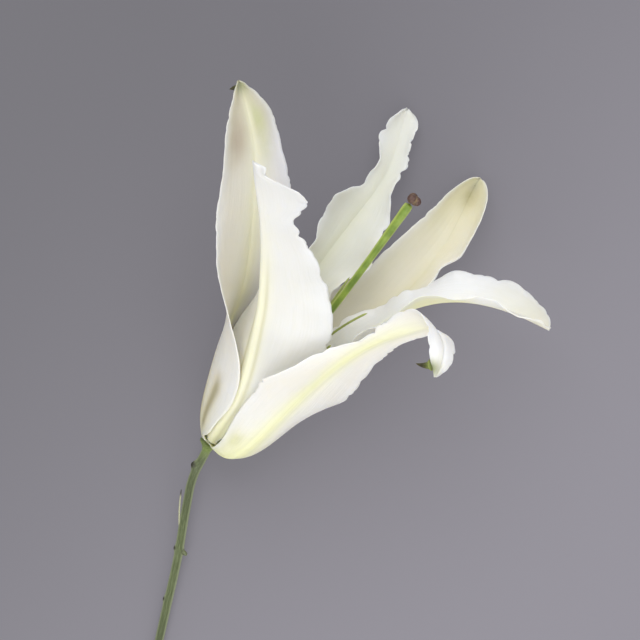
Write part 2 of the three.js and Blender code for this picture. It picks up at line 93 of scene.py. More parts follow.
# Lists but the lobes run at equal steps from claw to tip. ahead and behind are the half widths on the two
# sides of the midrib, and stray is how far the keel strays from it. A lobe is (side, place along, size,
# reach), a patch (place across, breadth, place along, reach), a furrow (place across, breadth, start, end),
# a hook (place along, place across, lean, turn, length, breadth) and its halo (shift across, strength).
TEPALS = [
    {
        "name": "sepal_left", "form": SEPAL, "length": 144, "shoulder": 22,
        "azimuth": [-72, -74, -82, -86, -85, -85], "lean": [22, 22, 20, 26, 46, 54],
        "ahead": [6.5, 13, 20, 23, 22, 25.5, 23.5, 21.5, 20, 17.5, 12],
        "behind": [5.5, 10.5, 16, 19, 20, 19, 16.5, 13, 11.5, 13, 11],
        "twist": [0, 0, -20, -40, -46, -42], "crease": [0, 0, 4, 4, 4, 8], "curl": [50, 55, 30, 16, 16, 20],
        "ruffle": 0.6, "waves": 4, "phase": 0,
        "ragged": 0.8, "crinkle": 0.12, "stray": [0, 0, -2, -4.5, -4, -1, 2, 3, 1, 0, 0],
        "patch": (0.5, 0.3, 0.86, 0.06), "second_patch": (-0.35, 0.3, 0.88, 0.08),
        "furrow": (0.5, 0.15, 0.07, 0.18), "hook": (0.98, 0, 80, 35, 4.2, 1), "halo": (0, 0.6),
    },
    {
        "name": "petal_front", "form": PETAL, "length": 142, "shoulder": 40,
        "azimuth": [-7, -8, -10, -19, -28, -33, -36, -37, -38.2, -40.5, -41],
        "lean": [22, 14, 24, 38, 42, 46],
        "ahead": [3, 7, 13, 20.5, 27, 29, 25, 21, 16, 25.5, 34],
        "behind": [3, 7, 13, 20.5, 27, 29, 28, 23, 18, 15, 6],
        "crease": [0, 0, 22, 34, 32, 24], "curl": [50, 54, 34, 30, 24, 20],
        "ruffle": 0.9, "waves": 7, "phase": 20, "lobes": [(1, 0.828, -3, 0.018)],
        "ragged": 1.8, "crinkle": 0.15, "bluntness": 0.42, "finger": (0.954, 0.97, 5.5),
    },
    {
        "name": "sepal_curled", "form": SEPAL, "length": 146, "shoulder": 60,
        "azimuth": [48, 45, 41.5, 40.5, 41, 41], "lean": [24, 15, 8, 9, 12, 18, 26, 34, 43, 98, 166],
        "ahead": [6.5, 12.5, 20.1, 28.4, 19.5, 15, 14, 8.2, 8, 10, 10.5],
        "behind": [5.5, 9.6, 13.8, 16.2, 22.5, 14, 5.2, 6.5, 9.5, 11, 13],
        "twist": [0, 0, 8, 2, -20, 12], "crease": [0, -4, -8, 6, 24, 10], "curl": [45, 42, 10, 6, -10, -60],
        "ruffle": 0.4, "waves": 5, "phase": 60, "lobes": [(1, 0.42, 1.8, 0.05), (1, 0.49, 1.5, 0.04)],
        "ragged": 2.0, "crinkle": 0.12, "patch": (-0.6, 0.25, 0.135, 0.03),
        "hook": (0.975, -0.75, 90, -80, 7, 1.1), "halo": (-3, 0.9),
    },
    {
        "name": "petal_right", "form": PETAL, "length": 150, "shoulder": 50,
        "azimuth": [110, 110, 110, 108, 106, 104.5, 101, 98.5, 98, 96.5, 95],
        "lean": [22, 4, 3, 20, 58, 77],
        "ahead": [2.5, 7, 11.5, 15, 17, 15.5, 14, 14, 14.5, 15.8, 18],
        "behind": [3.5, 8, 14, 18.8, 25, 26, 26, 23, 16, 12, 11],
        "twist": [0, 0, -2, -4, 3, 8], "crease": [0, 0, 6, 8, 24, 24], "curl": [50, 54, 36, 14, 14, 20],
        "ruffle": 1.6, "waves": 7, "phase": 0, "lobes": [(1, 0.62, -2, 0.09)],
        "ragged": 1.6, "crinkle": 0.3,
    },
    {
        "name": "sepal_back", "form": SEPAL, "length": 146, "shoulder": 62,
        "azimuth": [172, 168, 157, 149, 156, 167], "lean": [24, 14, 18, 21, 26.5, 27],
        "ahead": [6, 12, 17.5, 18, 18.5, 18.5, 18, 18.5, 17.5, 16, 16],
        "behind": [6, 11.5, 17, 17.5, 18.5, 19.5, 18, 13.5, 18.5, 22, 23],
        "crease": [0, 0, 2, 12, 12, 10], "curl": [50, 52, 36, 54, 68, 68],
        "ruffle": 0.5, "waves": 4, "phase": 90, "lobes": [(-1, 0.75, -4.6, 0.024), (-1, 0.795, 1.6, 0.02)],
        "ragged": 0.9, "crinkle": 0.15, "groove": 0.25, "patch": (0.02, 0.35, 0.945, 0.03),
        "hook": (0.972, 0, 35, 0, 1.6, 0.6), "halo": (0, 0.3),
    },
    {
        "name": "petal_back", "form": PETAL, "length": 148, "shoulder": 45,
        "azimuth": [-132, -137, -149, -157, -163, -158.5], "lean": [22, 8, 12, 28, 36, 38],
        "ahead": [3, 7.5, 13, 15, 14, 12, 11.5, 13, 8, 10.5, 17],
        "behind": [3, 7.5, 12, 14, 13.5, 12.5, 14.5, 13, 7.5, 8.5, 16],
        "twist": [0, 0, -4, -10, -10, -6], "crease": [0, 0, 8, 10, 8, 6], "curl": [50, 54, 50, 44, 40, 36],
        "ruffle": 1.8, "waves": 7, "phase": 140,
        "lobes": [(-1, 0.61, 3.4, 0.055), (1, 0.675, 2.5, 0.03), (1, 0.755, -3, 0.03)],
        "ragged": 1.8, "crinkle": 0.35, "groove": 0.15,
    },
]

BASE = (0.0035, -0.0271, 0.0135)  # the top of the stem, in metres, in the frame of the part
STEM_ROUTE = [  # from the base
    (0.3, -2.9, -1.3), (1.0, -5.2, -2.4), (1.9, -9.5, -4.2), (2.9, -14.0, -5.5), (4.8, -18.9, -6.3),
    (7.9, -24.6, -7.3), (12.1, -32.0, -8.2), (17.2, -40.6, -9), (22.2, -49.8, -9.8), (27.2, -59.7, -10.5),
    (32.2, -69.4, -11), (37.2, -79.1, -11.4), (42.0, -88.6, -11.8),
]
STEM_SAMPLES = 600
STEM_SINK = 0.03  # how much slimmer than its solid the stem is, under its five low ribs
STEM_CUP = ([0, 0.6, 1.8, 3.6], [4.0, 3.4, 2.3, 1.7])  # distances down the stem, and the least radius at each
RECEPTACLE_TOP = -1.6
PLUG = ([-1, 0, 1.0, 2.2, 3.2], [3.4, 3.4, 3.2, 2.5, 0.9])  # heights, and the radius at each
STYLE_HEIGHTS = [0, 8, 24, 34, 60, 100, 123, 125]
STYLE_RADII = [1.2, 1.5, 1.6, 1.35, 1.3, 1.35, 1.8, 1.5]
STYLE_TOP = STYLE_HEIGHTS[-1]
STIGMA_RADIUS = 2.7
STIGMA_FLATNESS = 0.72
STIGMA_LOBE = 0.14
STIGMA_GAP = 0.3
STIGMA_SPLIT = 0.16
STIGMA_DENT = 0.25
STIGMA_BUMPS = (0.025, 23)  # height, as a share of the radius, and how close together
FILAMENT_RING = 2.3
FILAMENT_FOOT = 0.6
FILAMENT_TIP = 0.4
FILAMENTS = [  # azimuth, length, spread, and how late it turns out
    (197, 85, 5.5, 2.4),
    (108, 80, 9.6, 4.7),
    (60, 64, 7, 2.4),
    (0, 72, 8, 2.4),
    (-66, 72, 8, 2.4),
    (-120, 70, 8, 2.4),
]
TWIG_ROOT = 0.4  # how deep the twigs are sunk in the stem
# Scars on the stem: the share of the way down it, degrees round it, height, reach along it, reach round it
STEM_SCARS = [
    (0.11, 150, 1.3, 1.7, 0.75),
    (0.445, 165, 0.6, 1.2, 0.7),
    (0.455, 10, 0.5, 1.4, 0.8),
    (0.65, 170, 0.5, 1.2, 0.7),
]
STEM_TWIGS = [  # the bract's strip, which points up the stem, and a cut stub
    {
        "at": 0.36, "side": 174, "heading": 174, "length": 14.5, "width": 1.7, "thickness": 0.7,
        "bow": 0.3, "pale": 1.0, "scar": 1.0,
    },
    {
        "at": 0.452, "side": 8, "heading": 55, "length": 2.5, "width": 2.0, "thickness": 1.7,
        "bow": 0.1, "pale": 0.12, "scar": 0.3,
    },
]

# The stage, in metres
VIEW_OFFSET = (0.0410, 0.0456)  # from the base of the flower to the middle of the view, right and up
FLOOR_SIZE = 4
FLOOR_LIGHT_SLOPE = (0.996, -0.087, 0.0)  # the way in which the painted light falloff makes the floor lighter
FLOOR_REACH = 0.17  # how far from the middle of the part its tone changes
LIGHTS = [  # name, place and width of each, from the middle of the part
    ("key", (0.2, -0.75, 0.85), 0.9),
    ("fill", (-0.55, 0.75, 1.1), 1.5),
    ("low", (0.9, -0.5, 0.5), 0.7),
]


# Helpers for the forms


def through(values, t):
    """A smooth curve through equally spaced values, at t from 0 to 1."""
    values = np.asarray(values, float)
    place = np.clip(t, 0, 1) * (len(values) - 1)
    i = np.minimum(place.astype(int), len(values) - 2)
    f = place - i

    def at(k):
        return values[np.clip(k, 0, len(values) - 1)]

    rise = (at(i + 1) - at(i - 1)) / 2
    next_rise = (at(i + 2) - at(i)) / 2
    a = 2 * at(i) - 2 * at(i + 1) + rise + next_rise
    b = -3 * at(i) + 3 * at(i + 1) - 2 * rise - next_rise
    return ((a * f + b) * f + rise) * f + at(i)


def smoothstep(x, low, high):
    t = np.clip((x - low) / (high - low), 0, 1)
    return t * t * (3 - 2 * t)


def bell(x, reach):
    return np.exp(-((x / reach) ** 2))


def midrib(tepal):
    """Distance from the flower's axis and height along it, from the claw to the tip in equal steps."""
    s = (np.arange(MIDRIB_STEPS) + 0.5) / MIDRIB_STEPS
    lean = np.radians(through(tepal["lean"], s) + tepal["shoulder"] * bell(s, SHOULDER_REACH))
    step = tepal["length"] / MIDRIB_STEPS
    r = CLAW_RADIUS + np.concatenate([[0], np.cumsum(step * np.sin(lean))])
    height = tepal["form"]["claw_height"] + np.concatenate([[0], np.cumsum(step * np.cos(lean))])
    return r, height


MIDRIBS = {tepal["name"]: midrib(tepal) for tepal in TEPALS}
SEPALS = [tepal for tepal in TEPALS if tepal["form"] is SEPAL]


def sepal_radius(sepal, height):
    """How far from the axis a sepal's midrib is, at a height that it reaches."""
    r, h = MIDRIBS[sepal["name"]]
    top = int(np.argmax(np.diff(h) <= 0)) or len(h) - 1
    return np.interp(height, h[: top + 1], r[: top + 1])


def tube_radius(height, azimuth):
    """The wall that the tepals share: its radius eases from each sepal to the next, round the axis."""
    wall = np.full(np.shape(azimuth), CLAW_RADIUS)
    for k, here in enumerate(SEPALS):
        after = SEPALS[(k + 1) % len(SEPALS)]
        span = (after["azimuth"][0] - here["azimuth"][0]) % 360
        past = (azimuth - here["azimuth"][0]) % 360
        share = smoothstep(past / span, 0, 1)
        radius = sepal_radius(here, height) * (1 - share) + sepal_radius(after, height) * share
        wall = np.where(past <= span, radius, wall)
    return wall


def unit(v):
    return v / np.linalg.norm(v, axis=-1, keepdims=True)


def points_of(x, y, z):
    return np.stack(np.broadcast_arrays(x, y, z), axis=-1)


def direction(at, s, step):
    """The way along a curve at s, where at(s) gives its points."""
    return unit(at(np.minimum(s + step, 1)) - at(np.maximum(s - step, 0)))


def half_width(tepal, s, v):
    """Half the blade, on v's side of the midrib, with its lobes."""
    form = tepal["form"]
    claw = bell(s, form["claw_reach"])
    grown = np.where(v > 0, through(tepal["ahead"], s), through(tepal["behind"], s))
    grown = grown * (1 - claw) + form["claw_half_width"] * claw
    tip = np.maximum(0, (s - TIP_START) / (1 - TIP_START))
    w = np.maximum(TIP_HALF_WIDTH, grown * (1 - tip**3) ** tepal.get("bluntness", form["bluntness"]))
    for hand, at, size, reach in tepal.get("lobes", ()):
        w = w + np.where(np.sign(v) == hand, size * bell(s - at, reach), 0)
    if "finger" in tepal:  # a narrow end to the blade, ahead of the midrib
        start, end, width = tepal["finger"]
        w = w + np.where(v > 0, np.minimum(width - w, 0) * smoothstep(s, start, end), 0)
    return np.maximum(TIP_HALF_WIDTH, w)


def midrib_place(tepal, s):
    r_list, h_list = MIDRIBS[tepal["name"]]
    steps = np.linspace(0, 1, len(r_list))
    r = np.interp(s, steps, r_list)
    height = np.interp(s, steps, h_list)
    turn = np.radians(through(tepal["azimuth"], s))
    return r, height, turn, points_of(r * np.sin(turn), height, r * np.cos(turn))


def tepal_points(tepal, s, v):
    """Points at shares s of the length and v of the half width, in the flower's own frame: Y up its axis."""
    form = tepal["form"]
    r, height, turn, place = midrib_place(tepal, s)
    reach, hand = np.abs(v), np.sign(v)
    w = half_width(tepal, s, v)

    azimuth = turn + w * v / r
    wall = tube_radius(height - form["inset"], np.degrees(azimuth)) - form["inset"]
    in_tube = points_of(wall * np.sin(azimuth), height, wall * np.cos(azimuth))
    free = smoothstep(s, *TUBE_END)[..., None]

    along = direction(lambda share: midrib_place(tepal, share)[3], s, SLOPE_STEP)
    side = points_of(np.cos(turn), 0, -np.sin(turn))
    side = unit(side - along * np.sum(side * along, axis=-1, keepdims=True))
    twist = np.radians(through(tepal.get("twist", (0, 0)), s))[..., None]
    side = side * np.cos(twist) + np.cross(along, side) * np.sin(twist)
    inward = np.cross(along, side)

    crease = np.radians(through(tepal["crease"], s))
    curl = np.radians(through(tepal["curl"], s))
    curl = np.where(np.abs(curl) < FLATTEST_CURL, FLATTEST_CURL, curl)
    out = crease + curl * reach
    across = w * (np.sin(out) - np.sin(crease)) / curl
    depth = w * (np.cos(crease) - np.cos(out)) / curl
    wave = tepal["ruffle"] * reach**RUFFLE_DEPTH * smoothstep(s, *RUFFLE_START)
    phase = tepal["phase"] + np.where(hand > 0, 0, RUFFLE_OFFSET)
    swing = wave * np.sin(np.radians(360 * tepal["waves"] * s + phase))
    blade = place + side * (hand * (across - swing * np.sin(out)))[..., None]
    blade = blade + inward * (depth + swing * np.cos(out))[..., None]
    return in_tube * (1 - free) + blade * free


def to_lying(points, sizes):
    """From the flower's own frame to the part's, in metres: the axis tilted up off the surface."""
    x, y, z = points[..., 0], points[..., 1], points[..., 2]
    c, s = math.cos(sizes.tilt), math.sin(sizes.tilt)
    return points_of(x, y * c - z * s, y * s + z * c) * MM + np.array(sizes.base)


# Helpers for meshes


def empty_bmesh():
    bm = bmesh.new()
    bm.loops.layers.uv.new("UVMap")
    return bm


def flat_grid(columns, rows, size=1):
    bm = empty_bmesh()
    bmesh.ops.create_grid(bm, x_segments=columns, y_segments=rows, size=size, calc_uvs=True)
    return bm


def sheet_pair(rows, columns):
    """Two grids face to face, closed round their rims: X and Y from -1 to 1, and Z 1 on the outer one."""
    bm = flat_grid(columns, rows)
    made = bmesh.ops.extrude_face_region(bm, geom=bm.faces[:], use_keep_orig=True)
    outer = [part for part in made["geom"] if isinstance(part, bmesh.types.BMVert)]
    bmesh.ops.translate(bm, verts=outer, vec=(0, 0, 1))
    return bm


def grid_of(bm, name):
    """The mesh of a grid, with its own coordinates as an array."""
    mesh = bpy.data.meshes.new(name)
    bm.to_mesh(mesh)
    bm.free()
    places = np.empty(len(mesh.vertices) * 3)
    mesh.vertices.foreach_get("co", places)
    return mesh, places.reshape(-1, 3)


def set_places(mesh, places):
    mesh.vertices.foreach_set("co", np.ascontiguousarray(places, dtype=np.float32).ravel())
    mesh.update()


def set_uv(mesh, u, v):
    corners = np.empty(len(mesh.loops), dtype=np.int32)
    mesh.loops.foreach_get("vertex_index", corners)
    pairs = np.stack([u, v], axis=-1)[corners]
    mesh.uv_layers[0].data.foreach_set("uv", pairs.astype(np.float32).ravel())


def set_fields(mesh, **fields):
    """Numbers at each vertex, for the materials to read. One number alone goes to every vertex."""
    for name, values in fields.items():
        field = mesh.attributes.new(name, "FLOAT", "POINT")
        each = np.broadcast_to(np.asarray(values, dtype=np.float32), len(mesh.vertices))
        field.data.foreach_set("value", np.ascontiguousarray(each))


def welded(name, *meshes):
    """One mesh of several, with its seams and poles merged and its faces turned outwards."""
    bm = bmesh.new()
    for mesh in meshes:
        bm.from_mesh(mesh)
        bpy.data.meshes.remove(mesh)
    bmesh.ops.remove_doubles(bm, verts=bm.verts[:], dist=1e-6)
    bmesh.ops.recalc_face_normals(bm, faces=bm.faces[:])
    whole = bpy.data.meshes.new(name)
    bm.to_mesh(whole)
    bm.free()
    whole.polygons.foreach_set("use_smooth", [True] * len(whole.polygons))
    return whole


def add_object(name, data):
    made = bpy.data.objects.new(name, data)
    bpy.context.scene.collection.objects.link(made)
    return made


def add_piece(node, mesh, material):
    """The finished piece: it rides on the part and stands for its solid."""
    mesh.materials.append(material)
    piece = add_object("lily_" + node, mesh)
    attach(piece, "root")
    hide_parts(node)


def wrapped(name, levels, sides, route, radius, level=(0.0, 0.0, 1.0)):
    """A closed rod round a route: route(s) gives (n, 3) points in metres and radius(s, turn) metres."""
    mesh, grid = grid_of(flat_grid(sides, levels), name)
    turn = np.pi * grid[:, 0]
    s = (grid[:, 1] + 1) / 2
    ahead = direction(route, s, ROUTE_STEP)
    side = unit(np.cross(np.array(level), ahead))
    up = np.cross(ahead, side)
    out = side * np.cos(turn)[:, None] + up * np.sin(turn)[:, None]
    set_places(mesh, route(s) + out * radius(s, turn)[:, None])
    set_uv(mesh, (grid[:, 0] + 1) / 2, s)
    return mesh, s, turn


def closed_ends(s, radius):
    """The radius, but none at the two ends, where the rod closes to a point."""
    return np.where((s <= 0) | (s >= 1), 0, radius)


# The tepals


def waves(rng, count, low, high):
    """A few sine waves with random directions, for a surface that is never quite even."""
    ranges = ((low, high), (-WAVE_SLANT, WAVE_SLANT), (0, 2 * math.pi))
    return [tuple(rng.uniform(*each) for each in ranges) for _ in range(count)]


def swell(fields, s, v):
    return sum(np.sin(2 * np.pi * (a * s + b * v) + c) for a, b, c in fields) / len(fields)


def toothed(tepal, s, v, rng):
    """v drawn in along the margins, which are scallops with small sharp notches between them."""
    hand = np.sign(v)
    wander = swell(waves(rng, 4, 2, 7), s, 2 * hand)
    notches = sum(
        depth * (1 - np.abs(np.sin(np.pi * (count * s + NOTCH_WANDER * wander + shift * hand)))) ** 2
        for depth, count, shift in NOTCHES
    )
    nibble = tepal["ragged"] * notches * smoothstep(s, 0.15, 0.4) * np.abs(v) ** 4
    return v * (1 - np.clip(nibble / np.maximum(half_width(tepal, s, v), 2), 0, DEEPEST_NOTCH))


def facing(tepal, s, v):
    """The way that the outer face looks at s and v, from the points beside each."""
    e = SLOPE_STEP
    low, high = np.maximum(v - e, -1), np.minimum(v + e, 1)
    low, high = np.minimum(low, high - e), np.maximum(high, low + e)
    sideways = tepal_points(tepal, s, high) - tepal_points(tepal, s, low)
    return unit(np.cross(sideways, direction(lambda share: tepal_points(tepal, share, v), s, e)))


def beside_rib(from_rib, line):
    place, reach = line
    return bell(np.abs(from_rib) - place, reach)


def relief(tepal, s, v, from_rib, sizes, rng):
    """How far each face stands off the sheet's middle, and the surface common to both."""
    form = tepal["form"]
    edge = np.abs(v)
    keel = form["keel"] * bell(from_rib, KEEL_REACH) * (1 - s)
    groove = form["groove"] * bell(from_rib, GROOVE_REACH) * np.sqrt(np.clip(1 - s, 0, 1))
    groove *= smoothstep(s, 0.02, 0.12) * tepal.get("groove", 1)
    hollow = 0.25 * form["groove"] * beside_rib(from_rib, HOLLOW) * (1 - s)
    drift = 0.35 * swell(waves(rng, 3, 0.4, 1.6), s, v)
    veins = sizes.vein_relief / MM * np.cos(2 * np.pi * form["veins"] * (edge**0.85 + 0.1 * drift))
    veins *= smoothstep(edge, 0.06, 0.2) * (1 - smoothstep(edge, 0.75, 1))
    veins *= smoothstep(s, 0.03, 0.2) * (1 - smoothstep(s, 0.85, 1))
    folds = sizes.fold_relief / MM * swell(waves(rng, 5, 1.0, 4.5), s, v)
    folds *= smoothstep(s, 0.15, 0.45) * np.sqrt(edge)
    crinkle = tepal["crinkle"] * edge**4 * swell(waves(rng, 4, 14, 34), s, np.sign(v))
    crinkle *= smoothstep(s, 0.3, 0.6)
    half = (sizes.middle_thickness + (sizes.margin_thickness - sizes.middle_thickness) * edge**1.5) / 2 / MM
    half = half * np.sqrt(1 - 0.9 * smoothstep(edge, 0.96, 1))
    return half + keel, -half + groove - hollow, veins + folds + crinkle


def tepal_mesh(tepal, sizes, rng):
    mesh, grid = grid_of(sheet_pair(sizes.rows, sizes.columns), tepal["name"])
    share = (grid[:, 1] + 1) / 2
    s = share - sizes.row_crowding * np.sin(2 * np.pi * share) / (2 * np.pi)
    v = np.sign(grid[:, 0]) * np.abs(grid[:, 0]) ** sizes.column_crowding
    outer = grid[:, 2] > 0.5
    from_rib = v * half_width(tepal, s, v) - through(tepal.get("stray", (0, 0)), s)

    v_cut = toothed(tepal, s, v, rng)
    outer_lift, inner_lift, common_lift = relief(tepal, s, v, from_rib, sizes, rng)
    furrow = furrow_of(tepal, s, v)
    lift = np.where(outer, outer_lift, inner_lift) + common_lift - FURROW_DEPTH * furrow
    places = tepal_points(tepal, s, v_cut) + facing(tepal, s, v_cut) * lift[:, None]
    set_places(mesh, to_lying(places, sizes))
    set_uv(mesh, (v + 1) / 4 + np.where(outer, 0.5, 0), s)
    set_fields(
        mesh,
        outer=outer,
        rib=bell(from_rib, RIB_REACH),
        band=bell(from_rib, sizes.band_width / MM),
        along=s,
        across=v,
        # where the painted shade goes, in the grooves beside the keel
        crease=beside_rib(from_rib, KEEL_SHADE_LINES),
        furrow=furrow,
        patch=patch_of(tepal, "patch", s, v),
        second_patch=patch_of(tepal, "second_patch", s, v),
        hook=hook_halo(tepal, s, from_rib),
    )
    hooks = [hook_mesh(tepal, sizes)] if "hook" in tepal else []
    return welded(tepal["name"], mesh, *hooks)


def furrow_of(tepal, s, v):
    place, breadth, start, end = tepal.get("furrow", NOWHERE)
    return bell(v - place, breadth) * smoothstep(s, start - 0.05, start) * smoothstep(s, end + 0.08, end)


def patch_of(tepal, key, s, v):
    """A soft round patch."""
    across, breadth, along, reach = tepal.get(key, NOWHERE)
    return bell(v - across, breadth) * bell(s - along, reach)


def hook_halo(tepal, s, from_rib):
    """The green round the foot of the hook."""
    if "hook" not in tepal:
        return np.zeros(len(s))
    shift, strength = tepal["halo"]
    far = np.hypot((s - tepal["hook"][0] - 0.01) * tepal["length"], from_rib - shift)
    return strength * bell(far, HALO_REACH)


def turned(v, axis, angle):
    """v turned about a unit axis."""
    c, s = math.cos(angle), math.sin(angle)
    return v * c + np.cross(axis, v) * s + axis * np.dot(axis, v) * (1 - c)


def hook_mesh(tepal, sizes):
    """The small green hook by a sepal's tip: a cone that bends a little as it narrows."""
    at, across, lean, turn, length, breadth = tepal["hook"]
    before, place = tepal_points(tepal, np.array([at - 0.05, at]), np.array([across, across]))
    near, far = tepal_points(tepal, np.array([at, at]), np.array([across - 0.1, across + 0.1]))
    along, side = unit(place - before), unit(far - near)

    def heading(angle):
        return turned(turned(along, side, math.radians(angle)), along, math.radians(turn))

    outward = turned(along, side, math.pi / 2)
    start, end = heading(lean - 10), heading(lean + 25)

    def route(s):
        bend = (0.5 * s**2)[:, None]
        run = (start * (s[:, None] - bend) + end * bend) * length
        return to_lying(place + outward * HOOK_SEAT + run, sizes)

    def radius(s, _):
        return np.where(s <= 0, 0, breadth * sizes.hook_radius * (1 - s) ** 0.8 * (1 + 0.5 * bell(s, 0.15)))

    mesh, s, _ = wrapped("hook", 14, 14, route, radius)
    set_fields(mesh, outer=1, rib=1, band=1, along=1, across=1, crease=1, furrow=1, second_patch=1)
    set_fields(mesh, patch=s, hook=1)
    return mesh


# The middle of the flower


def style_bow(t, sizes):
    return sizes.style_bow / MM * np.sin(np.pi * np.clip(t, 0, 1) ** 0.8)


def pistil_mesh(sizes):
    def route(s):
        return to_lying(points_of(style_bow(s, sizes), FOOT_HEIGHT + STYLE_TOP * s, 0), sizes)

    def radius(s, turn):
        height = s * STYLE_TOP
        ovary = 1 - smoothstep(height, 26, 36)
        lobes = 1 + ovary * 0.1 * np.cos(6 * turn) + 0.05 * (1 - ovary) * np.cos(3 * turn)
        return closed_ends(s, np.interp(height, STYLE_HEIGHTS, STYLE_RADII) * MM * lobes)

    mesh, _, turn = wrapped("pistil", 150, 30, route, radius)
    # The sides of the style as seen from above, where a pale painted sheen goes
    set_fields(mesh, edge=np.abs(np.cos(turn)))
    return welded("pistil", mesh)


def stigma_mesh(sizes):
    """Three blunt lobes, with a groove down the middle of each and a fine papillate skin."""
    bm = empty_bmesh()
    bmesh.ops.create_uvsphere(bm, u_segments=96, v_segments=48, radius=1, calc_uvs=True)
    mesh, ball = grid_of(bm, "stigma")
    x, y, z = ball.T
    around, out = np.arctan2(y, x), np.hypot(x, y)
    from_groove = np.sin(1.5 * (around - np.pi / 3))
    bump, fineness = STIGMA_BUMPS
    bumps = bump * np.sin(fineness * x) * np.sin(fineness * y + 1) * np.sin(fineness * z + 2)
    split = STIGMA_SPLIT * bell(from_groove, 0.25) * np.clip(out, 0, 1)
    r = STIGMA_RADIUS * (1 + STIGMA_LOBE * np.cos(3 * around) * out - split + bumps)
    centre = FOOT_HEIGHT + STYLE_TOP + STIGMA_GAP + STIGMA_RADIUS * STIGMA_FLATNESS
    height = centre + (STIGMA_FLATNESS - STIGMA_DENT * bell(out, 0.35) * (z > 0)) * r * z
    set_places(mesh, to_lying(points_of(r * x, height, r * y), sizes))
    set_fields(mesh, groove=bell(from_groove, 0.3))
    return welded("stigma", mesh)


def filament_mesh(name, azimuth, length, spread, lateness, sizes):
    azimuth = math.radians(azimuth)

    def route(s):
        r = FILAMENT_RING + spread * s**lateness
        across = r * np.sin(azimuth) + style_bow(s * length / STYLE_TOP, sizes)
        return to_lying(points_of(across, FOOT_HEIGHT + length * s, r * np.cos(azimuth)), sizes)

    def radius(s, _):
        taper = FILAMENT_FOOT + (FILAMENT_TIP - FILAMENT_FOOT) * s
        return closed_ends(s, taper * np.sqrt(np.clip((1 - s) / 0.02, 0, 1)) * MM)

    mesh, _, _ = wrapped(name, 90, 14, route, radius)
    return welded(name, mesh)


# The stem


def stem_route(sizes):
    axis = np.array([0, math.cos(sizes.tilt), math.sin(sizes.tilt)])
    points = np.array([axis * RECEPTACLE_TOP, *STEM_ROUTE])

    def route(s):
        return points_of(*(through(line, s) for line in points.T)) * MM + np.array(sizes.base)

    return route


def scars(far, total, turn, grown):
    """The shape of each scar on the stem, grown in reach, with the height of each."""
    for at, side, out, long, wide in STEM_SCARS:
        gap = (turn - math.radians(side) + np.pi) % (2 * np.pi) - np.pi
        yield out, bell((far - at * total) / MM, long * grown[0]) * bell(gap, wide * grown[1])


def stem_mesh(sizes):
    route = stem_route(sizes)
    shares = np.linspace(0, 1, STEM_SAMPLES)
    run = np.concatenate([[0], np.cumsum(np.linalg.norm(np.diff(route(shares), axis=0), axis=1))])
    total = run[-1]

    def radius(s, turn):
        far = np.interp(s, shares, run)
        r = np.maximum(np.interp(far / MM, *STEM_CUP), sizes.stem_radius / MM)
        r = r - STEM_SINK + 0.05 * np.cos(5 * turn) + 0.04 * np.sin(turn * 3 + far * 40)
        for out, shape in scars(far, total, turn, (1, 1)):
            r = r + out * shape
        return closed_ends(s, r) * MM

    mesh, s, turn = wrapped("stem", 420, 36, route, radius)
    far = np.interp(s, shares, run)
    scar = np.max([shape for _, shape in scars(far, total, turn, (1.1, 1.2))], axis=0)
    # The sides of the stem as seen from above, where a pale painted sheen goes
    around = smoothstep(np.abs(np.cos(turn)), 0.5, 0.95)
    set_fields(mesh, scar=scar, along=far / total, around=around, bract=0)
    twigs = [twig_mesh(twig, route, np.interp(twig["at"] * total, run, shares), sizes) for twig in STEM_TWIGS]
    return welded("stem", mesh, plug_mesh(sizes), *twigs)


def plug_mesh(sizes):
    """The pale middle of the receptacle, which fills the foot of the flower between the claws. Its pale colour
    is partly the receptacle's own and partly painted light in the shaded crevice.
    """
    heights, radii = PLUG

    def height_of(s):
        return heights[0] + (heights[-1] - heights[0]) * s

    def route(s):
        return to_lying(points_of(0, height_of(s), 0), sizes)

    def radius(s, _):
        return closed_ends(s, np.interp(height_of(s), heights, radii)) * MM

    mesh, _, _ = wrapped("plug", 24, 36, route, radius)
    # The pale bract colour here is partly the receptacle's own pale green and partly painted light in the
    # shaded crevice between the claws
    set_fields(mesh, scar=0, along=0, around=0, bract=0.85)
    return mesh


def twig_mesh(twig, route, start, sizes):
    """The bract's pale strip or the cut stub, rooted in the stem."""
    here, there = route(np.array([start, start + ROUTE_STEP]))
    down = unit(there - here)
    side = unit(np.cross(np.array([0.0, 0.0, 1.0]), down))
    turn, heading = math.radians(twig["side"]), math.radians(twig["heading"])
    away = side * math.cos(turn) + np.cross(down, side) * math.sin(turn)
    ahead = down * math.cos(heading) + away * math.sin(heading)
    foot = here + away * (sizes.stem_radius - TWIG_ROOT * MM)

    def along(s):
        bow = away * (twig["bow"] * np.sin(np.pi * s) * MM)[:, None]
        return foot + ahead * (s * twig["length"] * MM)[:, None] + bow

    def radius(s, turn):
        flat = 1 / np.sqrt((np.cos(turn) / twig["width"]) ** 2 + (np.sin(turn) / twig["thickness"]) ** 2)
        return closed_ends(s, flat * np.sqrt(np.clip(1 - s**4, 0, 1)) / 2) * MM

    mesh, s, _ = wrapped("twig", 24, 16, along, radius, level=away)
    set_fields(mesh, scar=twig["scar"] * smoothstep(s, 0.6, 1), along=twig["at"], around=0, bract=twig["pale"])
    return mesh


# Materials


def linear(red, green, blue):
    """A colour given as 0 to 255, as light."""
    return tuple(((c / 255 + 0.055) / 1.055) ** 2.4 if c > 10 else c / 255 / 12.92 for c in (red, green, blue))
